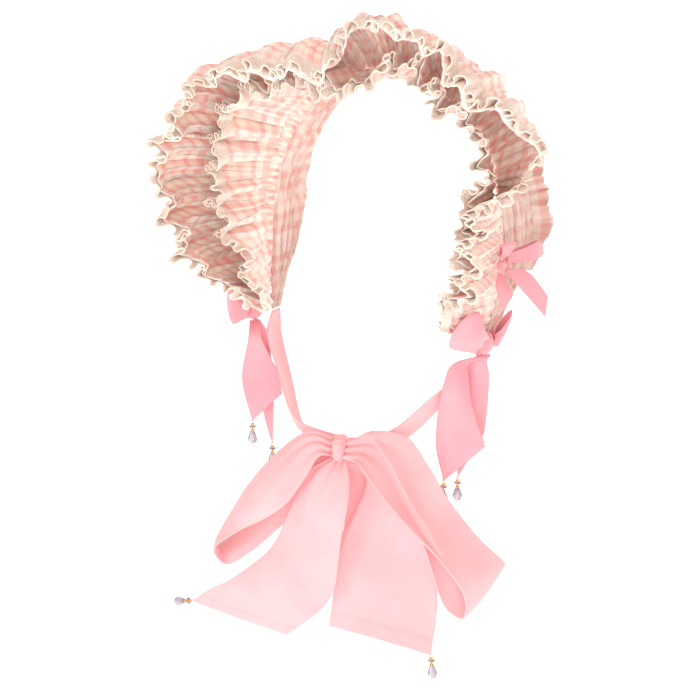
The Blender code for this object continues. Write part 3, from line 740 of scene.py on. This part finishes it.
FRILL_END = INNER_FRILL[-1, 0]
angle, s = grid(-FRILL_END, FRILL_END, 1000, 23)
points = frill_point(angle, s * FRILL_CLOTH_EDGE)
flat = cut_lengths(points, 0.5, from_end=True) + FRILL_CHECK_SHIFT
inner_frill = cloth("inner_frill_cloth", points, flat, CLOTH, check_cotton, "check_cloth",
                    "inner_frill")
angle = np.linspace(-FRILL_END, FRILL_END, PATH_POINTS)
header, edge, inward = strip_lines(frill_point, angle, *FRILL_LACE_SHARES, 1)
frill_lace = lace("inner_frill_lace_trim", header, edge, inward, 31, "inner_frill_lace")

# Small bows: 12 mm satin ribbon, tied and sewn where the back frill ends, one on each side.
SATIN = 0.7
SMALL_RIBBON = 12
SMALL_KNOT = (2.88, 3.99, 3.45)
SMALL_KNOT_LEFT_AT = np.array((95.9, -34.0, -108.0))
SMALL_KNOT_RIGHT_AT = np.array((-91.0, -6.5, -108.0))
# how far a loop's two layers stand apart at its root
LOOP_ROOT_GAP = 2.2
# a ribbon's cross sections from its edge a to its edge b, with how far its middle bulges,
# measured from the middle of the knot: ax ay az bx by bz bulge
SMALL_TAIL_FRONT = np.array([
    (-1.5, -2, -5.2, 1, -0.5, -5.2, 0),
    (-1, -6, -13, 6, -1, -13.5, 1),
    (4.5, -6, -28.5, 9, -1, -18.5, 0)], float)
SMALL_TAIL_REAR = np.array([
    (0.2, 3.8, -4.9, 2.4, 5, -2.6, 0),
    (7.5, 12, -17, 11.5, 16.5, -7, 1),
    (19.5, 26, -38, 20.5, 27.5, -24, 0)], float)
# bow loops from the middle of their knot: root, outer fold, the ribbon's direction across, the
# width at root and fold, and how far the two layers stand apart
SMALL_LOOP_FRONT = ((0.5, -1.5, 6), (9, -8.5, 17), (6, 10, 1), 5, 12, 6)
SMALL_LOOP_REAR = ((1, 5, 3.6), (13, 30, 6), (0, -1, -12), 7, 13, 7)
# what a row of a section table is multiplied by on the left (1) and on the right (-1)
ROW_SIDES = {1: 1, -1: np.array((-1, 1, 1, -1, 1, 1, -1), float)}

# Polyester satin ribbon: smooth warp floats on the face give a soft broad shine, and the fine
# threads across it are drawn 0.7 mm apart so that they show close up
satin, tree, shader = material("polyester_satin_ribbon", roughness=0.42, sheen_weight=0.3,
                               sheen_roughness=0.35, specular_ior_level=0.45)
flat_map = node(tree, "UVMap", uv_map="flat").outputs[0]
flat_parts = node(tree, "SeparateXYZ", {0: flat_map})
in_metres = node(tree, "TexCoord").outputs["Object"]
shade = node(tree, "TexNoise", {"Vector": in_metres, "Scale": 35.0, "Detail": 2.0})
two_colours(tree, shader, shade.outputs[0], (0.35, "#EA9DA8"), (0.65, "#EFAAB3"))
floats = node(tree, "Math", {0: flat_parts.outputs[0], 1: 2 * math.pi / (0.7 * MM)}, operation="MULTIPLY")
threads = node(tree, "Math", {0: floats.outputs[0]}, operation="SINE")
ripple = node(tree, "TexNoise", {"Vector": in_metres, "Scale": 160.0, "Detail": 1.0})
bumped(tree, [(ripple.outputs[0], 0.15), (threads.outputs[0], 0.012)], shader)


def valley(t, v, line, depth, recovery):
    """A lengthwise fold: on the a side of a line given as t and v, the cloth drops at once by the
    depth, and comes back over the recovery: -depth * step(d) * exp(-d / recovery)."""
    d = np.interp(t, line[:, 0], line[:, 1])[:, None] - v
    ends = smooth_step((t - line[0, 0]) / 0.8) * smooth_step((line[-1, 0] - t) / 0.8)
    return -depth * ends[:, None] * smooth_step(d / 0.07) * np.exp(-np.clip(d, 0, 1) / recovery)


def ribbon_grid(rows, along, across, pleats=0.0, pleat_run=0.25, hem=0.0, folded=None):
    """A ribbon's middle surface through its table of sections, bulging off the flat, and pleated
    where it comes out of the knot: pleats * cos(6 pi v) * exp(-t / pleat_run). Its end may have a
    hem, and the ribbon one lengthwise fold (its line, depth and recovery)."""
    index = np.arange(len(rows), dtype=float)
    table = np.column_stack([index, rows])
    t = np.linspace(0, index[-1], along)
    a = np.stack([curve(t, table, column) for column in (1, 2, 3)], -1)
    b = np.stack([curve(t, table, column) for column in (4, 5, 6)], -1)
    v = np.linspace(0, 1, across)[None, :]
    flat = a[:, None] * (1 - v[..., None]) + b[:, None] * v[..., None]
    normal = unit(np.cross(np.gradient(flat, axis=0), np.gradient(flat, axis=1)))
    bulge = curve(t, table, 7)[:, None] * 4 * v * (1 - v)
    fold = pleats * np.cos(6 * np.pi * v + 1.2 * np.sin(t)[:, None]) * np.exp(-t / pleat_run)[:, None]
    if hem:
        to_end = run_lengths(flat, 0)[-1] - run_lengths(flat, 0)
        fold = fold + 0.5 * (1 - smooth_step((to_end - hem) / 1.2))
    if folded:
        fold = fold + valley(t, v, *folded)
    return flat + normal * (bulge + fold)[..., None]


def loop_grid(loop, at, mirror, along=72, across=26, pleats=0.5, puff=0.0, rounding=0.35):
    """A bow's loop: out along one layer, round the fold and back along the other. The turn runs
    from 0 to pi; its sine is the share of the way out, and its cosine puts the layers apart. Puff
    swells them, and rounding holds the ribbon's edges back at the fold."""
    flip = np.array([mirror, 1, 1], float)
    root, fold, wide = (np.array(part, float) * flip for part in loop[:3])
    root_width, fold_width, eye = loop[3:]
    wide = unit(wide)
    apart = unit(np.cross(unit(fold - root), wide))
    turn = np.linspace(0, np.pi, along)[:, None]
    v = np.linspace(-0.5, 0.5, across)[None, :]
    out = np.sin(turn) * (1 - rounding * v * v)
    eye = LOOP_ROOT_GAP + (eye - LOOP_ROOT_GAP) * out
    width = root_width + (fold_width - root_width) * out**1.5
    crowned = puff * np.sin(np.pi * out**0.8) * (1 - 3.2 * v * v)
    fold_in = pleats * np.cos(4 * np.pi * v) * np.exp(-out / 0.28)
    gap = -np.cos(turn) * (eye / 2 + crowned + fold_in)
    return (at + root + (fold - root) * out[..., None] + apart * gap[..., None]
            + wide * (width * v)[..., None])


def close(mesh):
    """Welds the seam and the poles of a mesh, and turns its faces outwards."""
    work = bmesh.new()
    work.from_mesh(mesh)
    bmesh.ops.remove_doubles(work, verts=work.verts, dist=1e-6)
    bmesh.ops.dissolve_degenerate(work, edges=work.edges, dist=1e-7)
    bmesh.ops.recalc_face_normals(work, faces=work.faces)
    work.to_mesh(mesh)
    work.free()


def knot(node_name, at, half, wrap, creases, seed, kind):
    """A knot in that kind of ribbon, for one CAD node: a strip wrapped round the wrap axis. A
    rounded barrel, its half sizes along X, Y and Z, with creases that run round it; its ends are
    drawn in to a point: radius = cos(lat)^0.55 * (0.93 + the crease)."""
    ending, _, stuff, slot = kind
    lat, lon = grid(-np.pi / 2, np.pi / 2, 33, 49, 0, 2 * np.pi)
    end = np.abs(np.sin(lat))**0.85 * np.sign(np.sin(lat))
    crease = 0.055 * np.cos(creases * np.pi * (end + 0.08 * np.sin(lon + seed))) * np.cos(lat)**0.5
    swell = np.clip(np.cos(lat), 0, 1)**0.55 * (0.93 + crease + 0.04 * np.sin(2 * lon + seed))
    local = np.stack([end, swell * np.cos(lon), swell * np.sin(lon)], -1)
    order = {"X": (0, 1, 2), "Y": (2, 0, 1), "Z": (1, 2, 0)}[wrap]
    points = np.asarray(at) + local[..., order] * np.asarray(half)
    flat = np.stack([lon * half[1], lat * half[0]], -1)
    mesh = flat_mapped(node_name + ending, points, flat, stuff)
    close(mesh)
    finished(node_name + ending, mesh, slot, [node_name])


def ribbon(node_name, points, width, cut_share, kind):
    """A length of that kind of ribbon for one CAD node. Its width in mm and its cut's share of a
    rectangle are not used."""
    ending, thickness, stuff, slot = kind
    flat = cut_lengths(points)
    made = cloth(node_name + ending, points, flat, thickness, stuff, slot, node_name)


# a kind of ribbon: the ending of its pieces' names, its thickness, its material and its slot
SATIN_KIND = ("_satin", SATIN, satin, "pink_satin")
for word, mirror, at in (("left", 1, SMALL_KNOT_LEFT_AT), ("right", -1, SMALL_KNOT_RIGHT_AT)):
    bow = "small_bow_" + word
    knot(bow + "_knot", at, SMALL_KNOT, "Y", 3, 1, SATIN_KIND)
    for end, loop in (("front", SMALL_LOOP_FRONT), ("rear", SMALL_LOOP_REAR)):
        points = loop_grid(loop, at, mirror, 60, 12, 0.3)
        ribbon(bow + "_loop_" + end, points, SMALL_RIBBON, 0.75, SATIN_KIND)
    for end, rows in (("front", SMALL_TAIL_FRONT), ("rear", SMALL_TAIL_REAR)):
        points = ribbon_grid(rows * ROW_SIDES[mirror] + (*at, *at, 0), 40, 14, 0.4)
        ribbon(bow + "_tail_" + end, points, SMALL_RIBBON, 0.7, SATIN_KIND)

# Side bows: 35 mm satin ribbon in full soft loops at the band's lower ends, with long tails that
# are cut slantwise and carry a crystal drop at each point.
SIDE_RIBBON = 35
SIDE_KNOT = (4.6, 7.0, 7.5)
SIDE_KNOT_LEFT_AT = np.array((86.8, -37.0, -160.0))
SIDE_KNOT_RIGHT_AT = np.array((-88.0, -37.0, -160.0))
SIDE_LOOP_FRONT = ((1, -8.3, 1), (-5.5, -28, 18), (-21, -12, -31), 14, 38, 10)
SIDE_LOOP_OTHER = ((1, -8, 0), (7, -23, 8), (-7, -9, -29), 11, 34, 9)
SIDE_LOOP_REAR = ((1.5, 7.8, 1.5), (8, 15.5, 9), (-13, -2, -33), 11, 36, 8)
SIDE_TAIL_FRONT = np.array([
    (-3, -2, -8.6, 3, -1, -8.6, 0),
    (-16.5, -14, -13, -8.5, -7.5, -13, 1),
    (-20, -19, -24, -7, -9, -24, 2),
    (-22.5, -20, -38, -4.4, -11, -36, 3),
    (-24.5, -20, -54, 1, -12, -50, 3),
    (-24.5, -20, -71, 5, -12.5, -59, 2),
    (-19.5, -19, -92, 7, -12.5, -66, 1)], float)
SIDE_TAIL_REAR = np.array([
    (-3, 1, -8, 3, 2, -8, 0),
    (-10, -1.5, -13.5, 0, 2.8, -13.5, 1),
    (-13, -3, -23, 1, 4, -22, 2),
    (-18, -6, -50, 0.5, 4, -42, 3),
    (-16, -5.5, -93, -1.5, 3.5, -63, 1)], float)
SIDE_TAIL_OTHER = np.array([
    (-3, -2, -8.5, 3, -1, -8.5, 0),
    (1, -11, -20, 12, -10, -19, 2),
    (-3, -13, -48, 22, -8, -39, 3),
    (4, -12, -77, 26, -8, -55, 1)], float)
# for each drop, the point of ribbon that it hangs from and which way it hangs
drop_tips = {}
for word, mirror, at, front_loop, front_tail in (
        ("left", 1, SIDE_KNOT_LEFT_AT, SIDE_LOOP_FRONT, SIDE_TAIL_FRONT),
        ("right", -1, SIDE_KNOT_RIGHT_AT, SIDE_LOOP_OTHER, SIDE_TAIL_OTHER)):
    bow = "side_bow_" + word
    knot(bow + "_knot", at, SIDE_KNOT, "Y", 4, 2, SATIN_KIND)
    for end, loop, puff, share in (("front", front_loop, 3.0, 0.72), ("rear", SIDE_LOOP_REAR, 2.0, 0.6)):
        points = loop_grid(loop, at, mirror, 84, 34, 0.9, puff, 1.0)
        ribbon(bow + "_loop_" + end, points, SIDE_RIBBON, share, SATIN_KIND)
    for end, rows in (("front", front_tail), ("rear", SIDE_TAIL_REAR * ROW_SIDES[mirror])):
        rows = rows + (*at, *at, 0)
        points = ribbon_grid(rows, 80, 30, 0.8)
        ribbon(bow + "_tail_" + end, points, SIDE_RIBBON, 0.75, SATIN_KIND)
        drop_tips["drop_side_" + word + "_" + end] = (rows[-1, :3], (0, 0, -1))

# Chin tie: a long soft tie of plain pink cotton, sewn double and about 65 mm wide. It comes down
# and forward from both ends of the band and is tied there in a wide bow.
TIE_CLOTH = 1.2
TIE_WIDTH = 65
# the tie is folded narrower on its way to the knot, and in the loops a fold takes up part of it
STRAP_WIDTH = 24
TIE_LOOP_WIDTH = 42
CHIN_KNOT = (5.8, 9.0, 8.6)
CHIN_KNOT_AT = np.array((7.0, -86.0, -230.0))
CHIN_LOOP_RIGHT = np.array([
    (1.6, -86, -224, 1.6, -91, -235, 0),
    (-18, -87, -223, -3, -97.5, -235, 3),
    (-42, -89, -243, -10, -103, -249, 6),
    (-62, -90, -267, -23, -105, -268, 6),
    (-76, -89, -288, -42, -104, -283, 5),
    (-89, -86, -308, -66, -102, -298, 3),
    (-97, -79, -321, -84, -100, -313, 0),
    (-96, -74, -321, -80, -92, -327, -3),
    (-81, -70, -303, -64, -86, -317, -3),
    (-58, -71, -274, -45, -84, -299, -3),
    (-35, -73, -252, -27, -83, -280, -3),
    (-15, -77, -241, -11, -82, -257, -1),
    (-0.2, -81, -231, -0.2, -84, -237, 0)], float)
CHIN_LOOP_LEFT = np.array([
    (12.4, -86, -224, 12.4, -91, -236, 0),
    (30, -79, -218, 26, -97, -234, 3),
    (50, -75, -219, 39, -101, -245, 5),
    (64, -72, -237, 54, -103, -258, 6),
    (80, -70, -261, 70, -104, -271, 6),
    (100, -67, -283, 88, -102, -287, 5),
    (115, -64, -296, 102, -95, -310, 2),
    (112, -62, -300, 99, -89, -330, -3),
    (95, -68, -289, 86, -88, -326, -3),
    (80, -72, -275, 78, -88, -309, -3),
    (62, -76, -258, 68, -88, -283, -2),
    (43, -79, -241, 51, -87, -261, -2),
    (14.2, -81, -231, 14.2, -84, -237, 0)], float)
CHIN_TAIL_RIGHT = np.array([
    (2, -89, -237.5, 12, -88, -237.5, 0),
    (-10, -95, -245, 17, -92, -249, 3),
    (-19, -98, -261, 17, -94.5, -266, 5),
    (-28, -97, -282, 13, -95, -286, 6),
    (-44, -94, -309, 10, -94.5, -307, 6),
    (-76, -91, -337, 6, -94, -328, 5),
    (-95, -89, -349, -7, -93, -347, 3),
    (-111, -87, -362, -32, -91, -369, 1)], float)
CHIN_TAIL_LEFT = np.array([
    (4, -84, -237.5, 11, -84, -237.5, 0),
    (4, -80, -250, 32, -75, -248, -2),
    (6, -79, -268, 48, -71, -264, -4),
    (4, -81, -290, 62, -69, -287, -5),
    (3, -85, -316, 69, -70, -310, -4),
    (1, -87, -338, 73, -75, -334, -3),
    (-1, -88, -357, 73, -83, -364, -1)], float)
CHIN_STRAP = np.array([
    (79, -29, -162.5, 79, -19, -162.5, 0),
    (77, -39, -177, 75, -23, -181, 2),
    (58, -56, -196, 58, -39, -205, 3),
    (41, -70, -214, 42, -55, -225, 3),
    (26, -76, -222, 26, -68, -234, 2)], float)
HEM = 9.0
# a lengthwise fold: its line as sections from the knot and share of the width, its depth, and
# the share of the width over which the cloth comes back
LOOP_FOLD = (np.array([(0.2, 0.0), (1.7, 0.56), (2.5, 0.65), (3.3, 0.71), (3.9, 0.76), (4.6, 0.9),
                       (5.2, 0.95)]), 6.5, 0.3)
TAIL_FOLD = (np.array([(0.4, 0.5), (1.28, 0.48), (2.27, 0.2), (3.2, 0.05), (4.0, 0.0)]), 7.0, 9.0)

# Plain woven cotton, dyed pink and washed soft: matte, with threads 0.3 mm apart, drawn 0.9 mm
# here, and the light crumples of a tie that has been knotted before
tie_cotton, tree, shader = material("plain_pink_cotton", roughness=0.88, sheen_weight=0.3,
                                    sheen_roughness=0.5, specular_ior_level=0.3)
flat_map = node(tree, "UVMap", uv_map="flat").outputs[0]
in_metres = node(tree, "TexCoord").outputs["Object"]
uneven = node(tree, "TexNoise", {"Vector": in_metres, "Scale": 30.0, "Detail": 3.0})
two_colours(tree, shader, uneven.outputs[0], (0.35, "#F2B6BA"), (0.65, "#F6C0C4"))
crumple = node(tree, "TexNoise", {"Vector": in_metres, "Scale": 70.0, "Detail": 4.0})
bumped(tree, [(crumple.outputs[0], 0.9), (weave(tree, flat_map, THREADS_DRAWN), 0.02)], shader)


TIE_KIND = ("_cotton", TIE_CLOTH, tie_cotton, "pink_cotton")
knot("chin_knot", CHIN_KNOT_AT, CHIN_KNOT, "Z", 4, 3, TIE_KIND)
tie_parts = []
for word, mirror in (("left", 1), ("right", -1)):
    # the strap's last section lies flat against the back of the knot, beside the other strap's
    x, y, z = CHIN_KNOT_AT + (mirror * 0.8, CHIN_KNOT[1] + 1.1, 0)
    rows = np.vstack([CHIN_STRAP * ROW_SIDES[mirror], (x, y, z + 4, x, y, z - 5, 0)])
    tie_parts.append(("chin_strap_" + word, ribbon_grid(rows, 110, 20), STRAP_WIDTH))
tie_parts += [
    ("chin_loop_left", ribbon_grid(CHIN_LOOP_LEFT, 240, 60, 1.3, 1.2, 0, LOOP_FOLD), TIE_LOOP_WIDTH),
    ("chin_loop_right", ribbon_grid(CHIN_LOOP_RIGHT, 240, 60, 1.5, 1.3), TIE_LOOP_WIDTH),
    ("chin_tail_left", ribbon_grid(CHIN_TAIL_LEFT, 200, 80, 1.6, 1.5, HEM, TAIL_FOLD), TIE_WIDTH),
    ("chin_tail_right", ribbon_grid(CHIN_TAIL_RIGHT, 200, 80, 1.6, 1.5, HEM), TIE_WIDTH)]
for node_name, points, width in tie_parts:
    ribbon(node_name, points, width, 0.7, TIE_KIND)
drop_tips["drop_chin_left"] = (CHIN_TAIL_LEFT[-1, 3:6], (0.1, 0, -1))
drop_tips["drop_chin_right"] = (CHIN_TAIL_RIGHT[-1, :3], (-1, 0, -0.25))

# Crystal drops: a faceted glass teardrop under a small glass bead, held by gilt caps, with a jump
# ring through the ribbon's point.
DROP_GAP = 0.6
DROP_TURN = (0.3, 1.0, 0.2)
# glass rings: distance from the ribbon's tip, radius, and turn in facets
BEAD = ((2.0, 1.0, 0.0), (2.7, 2.5, 0.0), (3.7, 2.5, 0.5), (4.4, 1.0, 0.0))
TEARDROP = ((5.9, 0.9, 0.0), (8.6, 2.3, 0.0), (11.3, 3.3, 0.5), (13.0, 3.4, 0.0), (14.8, 2.4, 0.5),
            (16.2, 0.3, 0.0))
TOP_CAP = ((1.0, 0.5, 0.0), (1.5, 1.2, 0.0), (2.1, 1.3, 0.0), (2.3, 0.8, 0.0))
MIDDLE_CAP = ((4.2, 1.0, 0.0), (4.7, 0.7, 0.0), (5.2, 0.7, 0.0), (5.8, 1.3, 0.0), (6.3, 1.5, 0.0),
              (6.5, 1.2, 0.0))
FACETS = 8
CAP_SIDES = 12
RING_AT = 0.1
RING_RADIUS = 1.3
RING_WIRE = 0.28

# Clear lead-free crystal glass, cut in facets, IOR 1.55: colourless to faint lilac, drawn part opaque and
# darkened to grey as a painted reflection of darker surroundings in its facets
crystal, _, _ = material("cut_crystal_glass", base_color=linear("#C6C2CA"), roughness=0.05,
                         transmission_weight=0.6, ior=1.55)
# Gilt brass: a thin bright gold plate on stamped brass
gilt, _, _ = material("gilt_brass", base_color=linear("#E3B372"), roughness=0.28, metallic=1.0)


def turned(base, axes, rings, sides):
    """Points and faces of a closed body of rings (along, radius, turn in facets) on one axis:
    base + axis * along + radius * (cos of the turn * first + sin of the turn * second)."""
    first, second, axis = axes
    along, radius, facets = np.array(rings).T[..., None]
    turn = (2 * np.pi * (np.arange(sides) + facets) / sides)[..., None]
    points = (base + axis * along[..., None]
              + radius[..., None] * (np.cos(turn) * first + np.sin(turn) * second))
    faces = []
    for k in range(len(rings) - 1):
        for i in range(sides):
            a, b = k * sides + i, k * sides + (i + 1) % sides
            c, d = a + sides, b + sides
            if rings[k + 1][2] > rings[k][2]:
                faces += [(a, b, c), (b, d, c)]
            elif rings[k + 1][2] < rings[k][2]:
                faces += [(a, b, d), (a, d, c)]
            else:
                faces += [(a, b, d, c)]
    faces.append(tuple(range(sides))[::-1])
    faces.append(tuple(range((len(rings) - 1) * sides, len(rings) * sides)))
    return points.reshape(-1, 3), faces


def crystal_drop(node_name, tip, direction):
    """A hanging drop: cap, bead, cap, teardrop and jump ring, a small torus, in one mesh."""
    axis = unit(np.array(direction, float))
    first = unit(np.cross(axis, DROP_TURN))
    second = np.cross(axis, first)
    base = np.asarray(tip) + axis * DROP_GAP
    bodies = [(turned(base, (first, second, axis), rings, sides), which)
              for rings, sides, which in ((BEAD, FACETS, 0), (TEARDROP, FACETS, 0),
                                          (TOP_CAP, CAP_SIDES, 1), (MIDDLE_CAP, CAP_SIDES, 1))]
    u, v = grid(0, 2 * np.pi, 25, 9, 0, 2 * np.pi)
    round_it = np.cos(u)[..., None] * axis + np.sin(u)[..., None] * second
    ring = (base + axis * RING_AT + round_it * (RING_RADIUS + RING_WIRE * np.cos(v))[..., None]
            + first * (RING_WIRE * np.sin(v))[..., None])
    bodies.append(((ring.reshape(-1, 3), grid_faces(25, 9).tolist()), 1))
    points = np.concatenate([body_points for (body_points, _), _ in bodies])
    faces, which_material, count = [], [], 0
    for (body_points, body_faces), which in bodies:
        faces += [[corner + count for corner in face] for face in body_faces]
        which_material += [which] * len(body_faces)
        count += len(body_points)
    mesh = bpy.data.meshes.new(node_name + "_crystal")
    mesh.from_pydata((points * MM).tolist(), [], faces)
    mesh.materials.append(crystal)
    mesh.materials.append(gilt)
    mesh.polygons.foreach_set("material_index", which_material)
    close(mesh)
    finished(node_name + "_crystal", mesh, "crystal", [node_name])


for node_name, (tip, direction) in drop_tips.items():
    crystal_drop(node_name, tip, direction)
